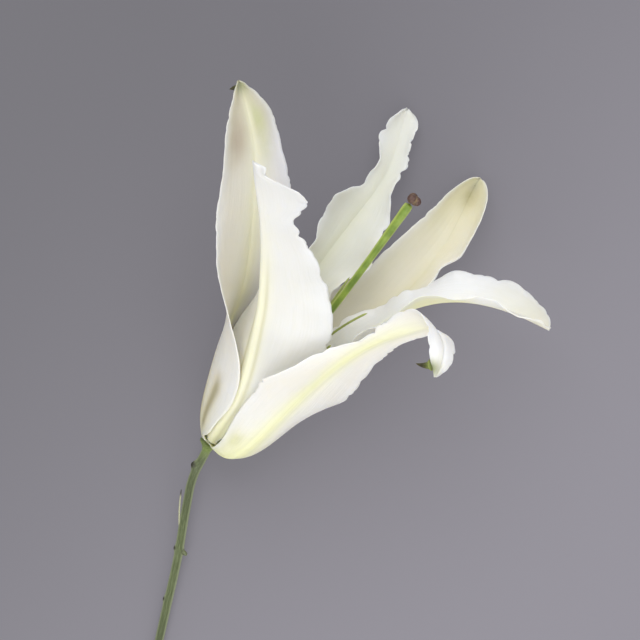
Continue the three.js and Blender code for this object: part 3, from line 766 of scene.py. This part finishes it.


# Each tepal's own colours, from 0 to 255, and how strongly some of them show: the flesh, its clouds, the band
# and the midrib on the inner face and the outer one, tints towards the two margins of the inner face, the tip,
# the patches, each with whether it is on the outer face, and the throat. The inner colours of sepal_left,
# sepal_back and petal_back are greyer and yellower than the other tepals' white: partly their own tint and
# partly painted shade, for inner faces that lie in shade. The darker tip of petal_right is partly painted
# shade too.
LOOKS = {
    "sepal_left": {
        "flesh": ((232, 229, 216), (255, 244, 226)), "cloud": ((222, 217, 202), (252, 236, 217)),
        "band": ((222, 220, 188), (236, 230, 206)), "band_share": (0.6, 0.4),
        "rib": ((238, 234, 204), (170, 162, 124)), "rib_share": (0.7, 0.7),
        "left": ((214, 210, 216), 0.75), "right": ((214, 204, 190), 0.6), "tip": ((186, 180, 156), 0.75),
        "patch": ((180, 169, 154), False), "second_patch": ((190, 192, 152), False),
        "rib_reach": (1.02, 0.9), "throat_out": (214, 212, 160), "throat_share": 0.5,
    },
    "petal_front": {
        "flesh": ((244, 242, 236), (233, 231, 225)), "cloud": ((238, 236, 226), (226, 223, 214)),
        "band": ((234, 234, 206), (244, 240, 204)), "band_share": (0.4, 0.6),
        "rib": ((222, 222, 176), (250, 244, 208)), "rib_share": (0.5, 0.85),
        "tip": ((248, 246, 240), 0.3), "rib_reach": (0.75, 0.5), "crease": 0.6,
        "throat_out": (226, 225, 168), "throat_share": 0.85,
    },
    "sepal_curled": {
        "flesh": ((250, 248, 244), (255, 245, 229)), "cloud": ((242, 240, 232), (255, 238, 220)),
        "band": ((240, 238, 214), (251, 247, 202)), "band_share": (0.4, 0.9),
        "rib": ((228, 228, 190), (246, 242, 186)), "rib_share": (0.5, 0.6),
        "tip": ((248, 246, 240), 0.3), "patch": ((188, 182, 142), True), "throat_out": (236, 237, 176),
        "throat_share": 0.9,
    },
    "petal_right": {
        "flesh": ((249, 248, 244), (248, 247, 240)), "cloud": ((242, 241, 234), (243, 241, 230)),
        "band": ((240, 239, 226), (246, 240, 176)), "band_share": (0.4, 0.6),
        "rib": ((222, 222, 192), (238, 232, 166)), "rib_share": (0.4, 0.5),
        "tip": ((208, 204, 184), 0.7), "lower_out": ((252, 246, 196), 0.59, 0.66, 0.76, 0.83),
        "throat_out": (216, 218, 150), "throat_share": 0.6,
    },
    "sepal_back": {
        "flesh": ((226, 220, 205), (246, 242, 230)), "cloud": ((216, 210, 187), (240, 236, 220)),
        "band": ((222, 216, 176), (232, 230, 190)), "band_share": (0.35, 0.6),
        "rib": ((212, 206, 156), (224, 222, 168)), "rib_share": (0.15, 0.5),
        "left": ((244, 238, 226), 0.7), "right": ((222, 216, 186), 0.5), "tip": ((214, 207, 172), 0.7),
        "patch": ((170, 164, 124), False), "throat_out": (206, 208, 136), "throat_share": 0.7,
    },
    "petal_back": {
        "flesh": ((219, 219, 208), (246, 244, 238)), "cloud": ((211, 210, 195), (240, 238, 228)),
        "band": ((212, 213, 194), (236, 234, 204)), "band_share": (0.6, 0.4),
        "rib": ((204, 205, 178), (230, 228, 184)), "rib_share": (0.2, 0.5),
        "tip": ((226, 225, 218), 0.5), "throat_out": (216, 216, 158), "throat_share": 0.6,
    },
}


class Recipe:
    """A material under construction, with short words for its nodes."""

    def __init__(self, name):
        self.material = bpy.data.materials.new(name)
        self.material.use_nodes = True
        self.nodes = self.material.node_tree.nodes
        self.links = self.material.node_tree.links
        self.shader = self.nodes["Principled BSDF"]

    def put(self, socket, value):
        if isinstance(value, bpy.types.NodeSocket):
            self.links.new(value, socket)
        else:
            socket.default_value = (*value, 1) if socket.type == "RGBA" else value

    def set(self, **values):
        for name, value in values.items():
            self.put(self.shader.inputs[name.replace("_", " ")], value)

    def field(self, name):
        node = self.nodes.new("ShaderNodeAttribute")
        node.attribute_name = name
        return node.outputs["Fac"]

    def math(self, operation, a, b=0.0):
        node = self.nodes.new("ShaderNodeMath")
        node.operation = operation
        self.put(node.inputs[0], a)
        self.put(node.inputs[1], b)
        return node.outputs[0]

    def times(self, first, *others):
        for other in others:
            first = self.math("MULTIPLY", first, other)
        return first

    def sum(self, a, b):
        return self.math("ADD", a, b)

    def beyond(self, a):
        """What is left to 1."""
        return self.math("SUBTRACT", 1.0, a)

    def mix(self, share, a, b):
        node = self.nodes.new("ShaderNodeMix")
        node.data_type = "RGBA"
        self.put(node.inputs[0], share)
        self.put(node.inputs[6], a)
        self.put(node.inputs[7], b)
        return node.outputs[2]

    def over(self, colour, tint, *shares):
        """The tint laid over the colour, as strongly as the product of the shares."""
        return self.mix(self.times(*shares), colour, tint)

    def between(self, share, a, b):
        node = self.nodes.new("ShaderNodeMapRange")
        self.put(node.inputs[0], share)
        node.inputs[3].default_value, node.inputs[4].default_value = a, b
        return node.outputs[0]

    def ramp(self, value, low, high, to_low=0.0, to_high=1.0):
        """The value spread from low..high to to_low..to_high, eased at both ends."""
        node = self.nodes.new("ShaderNodeMapRange")
        node.interpolation_type = "SMOOTHSTEP"
        for socket, number in zip(node.inputs[1:5], (low, high, to_low, to_high)):
            socket.default_value = number
        self.put(node.inputs[0], value)
        return node.outputs[0]

    def place(self, kind="Object"):
        return self.nodes.new("ShaderNodeTexCoord").outputs[kind]

    def streaks(self, across, along, detail=3.0):
        """Noise drawn out along a piece, by how many streaks lie across it and along it."""
        mapping = self.nodes.new("ShaderNodeMapping")
        mapping.inputs["Scale"].default_value = (across, along, 1)
        self.put(mapping.inputs["Vector"], self.place("UV"))
        return self.noise(1.0, detail, mapping.outputs["Vector"])

    def noise(self, scale, detail=3.0, place=None):
        node = self.nodes.new("ShaderNodeTexNoise")
        self.put(node.inputs["Vector"], place or self.place())
        node.inputs["Scale"].default_value = scale
        node.inputs["Detail"].default_value = detail
        return node.outputs["Fac"]

    def bump(self, height, distance, strength):
        node = self.nodes.new("ShaderNodeBump")
        node.inputs["Strength"].default_value = strength
        node.inputs["Distance"].default_value = distance
        self.put(node.inputs["Height"], height)
        self.links.new(node.outputs["Normal"], self.shader.inputs["Normal"])


def petal_flesh(tepal, colours, seed):
    """White flesh, greener at the throat and down the midrib, with faint long veins and a satin skin."""
    look = LOOKS[tepal["name"]]
    recipe = Recipe(tepal["name"] + "_flesh")
    outer, along, across = recipe.field("outer"), recipe.field("along"), recipe.field("across")
    inner = recipe.beyond(outer)

    def by_face(key):
        return recipe.mix(outer, *(linear(*colour) for colour in look[key]))

    def share_by_face(key):
        return recipe.between(outer, *look[key + "_share"])

    # Flesh, clouds, and the tints of the two margins, the tip and single places; on sepal_left, sepal_back and
    # petal_back these are partly painted shade, and so is petal_right's darker tip
    cloud = recipe.ramp(recipe.noise(38 + seed, 2.0), 0.3, 0.7)
    colour = recipe.over(by_face("flesh"), by_face("cloud"), cloud, 0.35)
    for side, sign in (("left", -1), ("right", 1)):
        if side in look:
            tint, strength = look[side]
            reach = recipe.ramp(recipe.times(across, sign), 0.0, 0.9)
            colour = recipe.over(colour, linear(*tint), reach, inner, strength)
    tint, strength = look["tip"]
    near_tip = recipe.ramp(recipe.sum(along, recipe.times(recipe.noise(110, 2.0), 0.1)), 0.78, 1.02)
    colour = recipe.over(colour, linear(*tint), near_tip, strength)
    for key in ("patch", "second_patch"):
        if key in look:
            tint, on_outer = look[key]
            cloudy = recipe.ramp(recipe.noise(140), 0.25, 0.6, 0.55, 1.0)
            face = outer if on_outer else inner
            colour = recipe.over(colour, linear(*tint), recipe.field(key), cloudy, face)
    if "lower_out" in look:
        tint, start, full, fading, end = look["lower_out"]
        reach = recipe.times(recipe.ramp(along, start, full), recipe.ramp(along, end, fading))
        colour = recipe.over(colour, linear(*tint), outer, reach)

    # The band, the throat, the midrib, and painted shade in the grooves beside it
    fade = recipe.ramp(along, 1.0, 0.55)
    colour = recipe.over(colour, by_face("band"), recipe.field("band"), fade, share_by_face("band"))
    throat = recipe.ramp(recipe.sum(along, recipe.times(recipe.noise(90, 2.0), 0.06)), 0.30, 0.02)
    green = recipe.mix(outer, colours.throat, linear(*look["throat_out"]))
    colour = recipe.over(colour, green, throat, look["throat_share"])
    keel_reach = recipe.ramp(along, *look.get("rib_reach", (1.0, 0.55)))
    colour = recipe.over(colour, by_face("rib"), recipe.field("rib"), keel_reach, share_by_face("rib"))
    # Painted shade: darker lines in the grooves on both sides of the keel, on the outer face
    keel_shade = look.get("crease", 0.15)
    colour = recipe.over(colour, colours.crease, recipe.field("crease"), outer, keel_reach, keel_shade)
    # Painted shade in the furrow low on the left sepal's outer face, whose dip is shaped in the mesh
    colour = recipe.over(colour, colours.furrow, recipe.field("furrow"), 0.8)

    # Long veins, thin margins and the hook
    grain = recipe.streaks(150, 9, 4.0)
    colour = recipe.over(colour, colours.vein, recipe.ramp(grain, 0.35, 0.75, 0.0, 0.10))
    margin = recipe.ramp(recipe.math("ABSOLUTE", across), 0.7, 1.0)
    colour = recipe.over(colour, colours.margin, margin, 0.35)
    dark = recipe.ramp(recipe.sum(recipe.field("patch"), recipe.times(recipe.noise(900, 2.0), 0.4)), 0.3, 0.7)
    colour = recipe.over(colour, recipe.mix(dark, colours.hook, colours.hook_tip), recipe.field("hook"))

    skin = recipe.streaks(420, 60)
    recipe.bump(recipe.sum(recipe.times(grain, 0.7), recipe.times(skin, 0.3)), 0.00025, 0.55)
    recipe.set(
        Base_Color=colour,
        Roughness=recipe.ramp(skin, 0.2, 0.8, 0.42, 0.58),
        Specular_IOR_Level=0.4,
        Subsurface_Weight=0.75,
        Subsurface_Radius=(1.0, 0.9, 0.7),
        Subsurface_Scale=0.0028,
    )
    return recipe.material


def green_flesh(name, light, dark, side_sheen_tint=None):
    recipe = Recipe(name)
    cloud = recipe.ramp(recipe.noise(160), 0.3, 0.7)
    colour = recipe.mix(cloud, light, dark)
    if side_sheen_tint is not None:
        # Painted sheen along the sides seen from above
        colour = recipe.over(colour, side_sheen_tint, recipe.ramp(recipe.field("edge"), 0.5, 1.0), 0.8)
    streak = recipe.streaks(60, 14)
    colour = recipe.over(colour, dark, recipe.ramp(streak, 0.4, 0.8, 0.0, 0.25))
    recipe.bump(streak, 0.0002, 0.5)
    recipe.set(
        Base_Color=colour,
        Roughness=recipe.ramp(cloud, 0.0, 1.0, 0.38, 0.5),
        Specular_IOR_Level=0.45,
        Subsurface_Weight=0.12,
        Subsurface_Radius=(0.6, 1.0, 0.3),
        Subsurface_Scale=0.0008,
    )
    return recipe.material


def stigma_flesh(colours):
    recipe = Recipe("stigma_flesh")
    spots = recipe.ramp(recipe.noise(1500, 4.0), 0.35, 0.65)
    colour = recipe.mix(spots, colours.stigma, colours.stigma_dark)
    colour = recipe.over(colour, colours.stigma_groove, recipe.field("groove"), 0.6)
    recipe.bump(recipe.noise(2600), 0.0004, 0.8)
    recipe.set(
        Base_Color=colour,
        Roughness=0.55,
        Specular_IOR_Level=0.5,
        Subsurface_Weight=0.1,
        Subsurface_Scale=0.0006,
    )
    return recipe.material


def stem_skin(colours):
    recipe = Recipe("stem_skin")
    long_streaks = recipe.streaks(26, 40, 4.0)
    colour = recipe.mix(recipe.ramp(long_streaks, 0.35, 0.7), colours.stem, colours.stem_light)
    cloud = recipe.ramp(recipe.noise(55, 2.0), 0.35, 0.7)
    colour = recipe.over(colour, colours.stem_dark, cloud, 0.5)
    # Painted sheen along the sides of the stem seen from above
    colour = recipe.over(colour, colours.stem_side_sheen, recipe.field("around"), 0.75)
    colour = recipe.over(colour, colours.neck, recipe.ramp(recipe.field("along"), 0.09, 0.0), 0.6)
    colour = recipe.over(colour, colours.bract, recipe.field("bract"))
    colour = recipe.over(colour, colours.scar, recipe.ramp(recipe.field("scar"), 0.35, 0.9))
    recipe.bump(long_streaks, 0.0003, 0.5)
    recipe.set(Base_Color=colour, Roughness=recipe.ramp(cloud, 0.0, 1.0, 0.42, 0.55), Specular_IOR_Level=0.45)
    return recipe.material


# What a user can change


def number_of(name, description, default, **more):
    return bpy.props.FloatProperty(name=name, description=description, default=default, **more)


def size_of(name, description, default):
    return number_of(name, description, default, subtype="DISTANCE", unit="LENGTH", precision=6)


def power_of(name, description, watts):
    return number_of(name, description, watts, unit="POWER")


def angle_of(name, description, degrees):
    return number_of(name, description, math.radians(degrees), subtype="ANGLE", unit="ROTATION")


def count_of(name, description, default, least):
    return bpy.props.IntProperty(name=name, description=description, default=default, min=least)


def colour_of(name, description, *rgb):
    return bpy.props.FloatVectorProperty(
        name=name, description=description, default=linear(*rgb), subtype="COLOR", min=0, max=1
    )


class LilySizes(bpy.types.PropertyGroup):
    """Sizes of the flower and its stem."""

    tilt: angle_of("Tilt", "How far the flower's axis rises off the surface", 21)
    base: bpy.props.FloatVectorProperty(
        name="Base", description="The top of the stem, where the tepals start", default=BASE,
        subtype="TRANSLATION", unit="LENGTH", precision=6,
    )
    middle_thickness: size_of("Middle thickness", "Thickness of a tepal at its midrib", 0.0009)
    margin_thickness: size_of("Margin thickness", "Thickness of a tepal at its margin", 0.0004)
    band_width: size_of("Band width", "Half width of the tinted band up a tepal", 0.0045)
    hook_radius: size_of("Hook radius", "Radius of the hook where it starts", 0.0015)
    style_bow: size_of("Style bow", "How far the style bows out sideways", 0.0034)
    stem_radius: size_of("Stem radius", "Radius of the stem", 0.0017)
    vein_relief: size_of("Vein relief", "Height of the long veins", 0.000015)
    fold_relief: size_of("Fold relief", "Height of the low folds", 0.00045)
    row_crowding: number_of("Row crowding", "How much closer the rows are at claw and tip", 0.4)
    column_crowding: number_of("Column crowding", "How much closer the columns are at the midrib", 1.25)
    rows: count_of("Rows", "Rows of faces along a tepal", 190, 20)
    columns: count_of("Columns", "Columns of faces across a tepal", 72, 8)


class LilyColours(bpy.types.PropertyGroup):
    """Colours of the flower and its stem."""

    throat: colour_of("Throat", "The green of the throat", 196, 204, 128)
    vein: colour_of("Vein", "The faint long veins", 206, 208, 178)
    # The colour of the painted shade in the grooves beside the keel
    margin: colour_of("Margin", "The thin margins", 248, 247, 242)
    crease: colour_of("Crease", "The lines beside the keel", 196, 192, 156)
    # The colour of the painted shade in the furrow low on the left sepal
    furrow: colour_of("Furrow", "The olive furrow low on the left sepal", 150, 142, 102)
    hook: colour_of("Hook", "The hooks at the sepals' tips", 112, 122, 62)
    hook_tip: colour_of("Hook tip", "The dark spots of the hooks", 62, 60, 34)
    style: colour_of("Style", "The style", 148, 170, 72)
    style_dark: colour_of("Style, darker", "The darker green of the style", 106, 132, 50)
    # The colour of the painted sheen along the style's sides
    style_side_sheen: colour_of("Style edges", "The pale corners of the style", 190, 204, 112)
    filament: colour_of("Filament", "The filaments", 172, 182, 104)
    filament_dark: colour_of("Filament, darker", "The darker green of the filaments", 138, 150, 74)
    stigma: colour_of("Stigma", "The stigma", 108, 82, 68)
    stigma_dark: colour_of("Stigma, darker", "The dark spots of the stigma", 72, 50, 48)
    stigma_groove: colour_of("Stigma grooves", "The paler grooves of the stigma", 150, 130, 92)
    stem: colour_of("Stem", "The stem", 74, 84, 48)
    stem_light: colour_of("Stem, lighter", "The lighter streaks of the stem", 98, 108, 72)
    stem_dark: colour_of("Stem, darker", "The darker clouds of the stem", 58, 66, 38)
    # The colour of the painted sheen along the stem's sides
    stem_side_sheen: colour_of("Stem, edges", "The paler sides of the stem", 150, 158, 126)
    neck: colour_of("Neck", "The pale green of the receptacle", 140, 160, 84)
    bract: colour_of("Bract", "The dry strip on the stem", 176, 176, 146)
    scar: colour_of("Scar", "The dark scars of the stem", 46, 46, 30)


class LilyStage(bpy.types.PropertyGroup):
    """The floor, the lights and the camera."""

    # The floor's two colours paint a light falloff across it
    floor: colour_of("Floor", "The plain floor, where it is lightest", 101, 99, 105)
    floor_far: colour_of("Floor, far side", "The plain floor, where it is darkest", 80, 79, 83)
    floor_glow: number_of("Floor glow", "Light of the floor's own, which softens the shadows", 1.0)
    key_power: power_of("Key light", "Power of the light over the stem's side", 4.5)
    fill_power: power_of("Fill light", "Power of the large soft light over the bloom's back", 13.0)
    low_power: power_of("Low light", "Power of the low light from the side", 3.2)
    sky: number_of("Sky", "Strength of the even light from all round", 0.68)
    camera_height: size_of("Camera height", "Height of the camera over the flower's base", 1.5)
    view_width: size_of("View width", "Width of the view at the height of the flower's base", 0.2432)
    roll: angle_of("Roll", "Turn of the camera about its line of sight", 40)


# Operators


class LILY_OT_tepals(bpy.types.Operator):
    """Add the three sepals and the three petals"""

    bl_idname = "lily.tepals"
    bl_label = "Tepals"

    def execute(self, context):
        sizes, colours = context.scene.lily_sizes, context.scene.lily_colours
        for k, tepal in enumerate(TEPALS):
            mesh = tepal_mesh(tepal, sizes, np.random.default_rng(FIRST_SEED + k))
            add_piece(tepal["name"], mesh, petal_flesh(tepal, colours, k))
        return {"FINISHED"}


class LILY_OT_pistil(bpy.types.Operator):
    """Add the pistil and its stigma"""

    bl_idname = "lily.pistil"
    bl_label = "Pistil"

    def execute(self, context):
        sizes, colours = context.scene.lily_sizes, context.scene.lily_colours
        flesh = green_flesh("style_flesh", colours.style, colours.style_dark, colours.style_side_sheen)
        add_piece("pistil", pistil_mesh(sizes), flesh)
        add_piece("stigma", stigma_mesh(sizes), stigma_flesh(colours))
        return {"FINISHED"}


class LILY_OT_filaments(bpy.types.Operator):
    """Add the six bare filaments"""

    bl_idname = "lily.filaments"
    bl_label = "Filaments"

    def execute(self, context):
        sizes, colours = context.scene.lily_sizes, context.scene.lily_colours
        flesh = green_flesh("filament_flesh", colours.filament, colours.filament_dark)
        for k, filament in enumerate(FILAMENTS, 1):
            node = f"filament_{k}"
            add_piece(node, filament_mesh(node, *filament, sizes), flesh)
        return {"FINISHED"}


class LILY_OT_stem(bpy.types.Operator):
    """Add the stem, with its receptacle, scars, bract and cut stub"""

    bl_idname = "lily.stem"
    bl_label = "Stem"

    def execute(self, context):
        sizes, colours = context.scene.lily_sizes, context.scene.lily_colours
        add_piece("stem", stem_mesh(sizes), stem_skin(colours))
        return {"FINISHED"}


class LILY_OT_stage(bpy.types.Operator):
    """Add the floor, the lights and the camera"""

    bl_idname = "lily.stage"
    bl_label = "Stage"

    def execute(self, context):
        stage = context.scene.lily_stage
        add_floor(stage)
        for name, place, size in LIGHTS:
            add_light(name, place, size, getattr(stage, name + "_power"))
        add_sky(stage)
        add_camera(stage, context.scene.lily_sizes)
        return {"FINISHED"}


def floor_paint(stage):
    """Plain paint, made lighter towards one side as a painted light falloff, and light of its own, which keeps
    the shadows soft.
    """
    recipe = Recipe("floor_paint")
    slope = recipe.nodes.new("ShaderNodeVectorMath")
    slope.operation = "DOT_PRODUCT"
    recipe.put(slope.inputs[0], recipe.place())
    recipe.put(slope.inputs[1], FLOOR_LIGHT_SLOPE)
    light_falloff = recipe.ramp(slope.outputs["Value"], -FLOOR_REACH, FLOOR_REACH)
    colour = recipe.mix(light_falloff, stage.floor_far, stage.floor)
    recipe.set(Base_Color=colour, Roughness=0.9, Specular_IOR_Level=0.2)
    recipe.set(Emission_Color=colour, Emission_Strength=stage.floor_glow)
    return recipe.material


def add_floor(stage):
    mesh, _ = grid_of(flat_grid(4, 4, FLOOR_SIZE), "floor")
    mesh.materials.append(floor_paint(stage))
    add_object("floor", mesh)


def add_light(name, place, size, power):
    data = bpy.data.lights.new(name, "AREA")
    data.shape = "DISK"
    data.size = size
    data.energy = power
    light = add_object(name, data)
    light.location = place
    light.rotation_euler = (-Vector(place)).to_track_quat("-Z", "Y").to_euler()


def add_sky(stage):
    """Even light from all round, and whites that stay white."""
    world = bpy.data.worlds.new("studio")
    world.use_nodes = True
    background = world.node_tree.nodes["Background"]
    background.inputs["Color"].default_value = (1, 1, 1, 1)
    background.inputs["Strength"].default_value = stage.sky
    bpy.context.scene.world = world
    bpy.context.scene.view_settings.view_transform = "Standard"


def add_camera(stage, sizes):
    """Looks straight down, with the base of the flower low on the left of the view."""
    data = bpy.data.cameras.new("camera")
    data.sensor_width = 36
    data.lens = data.sensor_width * stage.camera_height / stage.view_width
    data.clip_start, data.clip_end = 0.01, 20
    camera = add_object("camera", data)
    across = Matrix.Rotation(stage.roll, 3, "Z")
    camera.location = Vector(sizes.base) + across @ Vector((*VIEW_OFFSET, stage.camera_height))
    camera.rotation_euler = (0, 0, stage.roll)
    bpy.context.scene.camera = camera


class LILY_PT_panel(bpy.types.Panel):
    """The flower's sizes, colours and pieces"""

    bl_idname = "LILY_PT_panel"
    bl_label = "Lily"
    bl_space_type = "VIEW_3D"
    bl_region_type = "UI"
    bl_category = "Lily"

    def draw(self, context):
        for operator in OPERATORS:
            self.layout.operator(operator.bl_idname)
        for group in (context.scene.lily_sizes, context.scene.lily_colours, context.scene.lily_stage):
            box = self.layout.box()
            for name in group.__annotations__:
                box.prop(group, name)


OPERATORS = (LILY_OT_tepals, LILY_OT_pistil, LILY_OT_filaments, LILY_OT_stem, LILY_OT_stage)
GROUPS = {"lily_sizes": LilySizes, "lily_colours": LilyColours, "lily_stage": LilyStage}


def register():
    for group in GROUPS.values():
        bpy.utils.register_class(group)
    for operator in OPERATORS:
        bpy.utils.register_class(operator)
    bpy.utils.register_class(LILY_PT_panel)
    for name, group in GROUPS.items():
        setattr(bpy.types.Scene, name, bpy.props.PointerProperty(type=group))


def unregister():
    for name in GROUPS:
        delattr(bpy.types.Scene, name)
    bpy.utils.unregister_class(LILY_PT_panel)
    for kind in (*OPERATORS, *GROUPS.values()):
        bpy.utils.unregister_class(kind)


def main():
    register()
    bpy.ops.lily.tepals()
    bpy.ops.lily.pistil()
    bpy.ops.lily.filaments()
    bpy.ops.lily.stem()
    bpy.ops.lily.stage()
    bpy.context.view_layer.update()


if __name__ == "__main__":
    main()
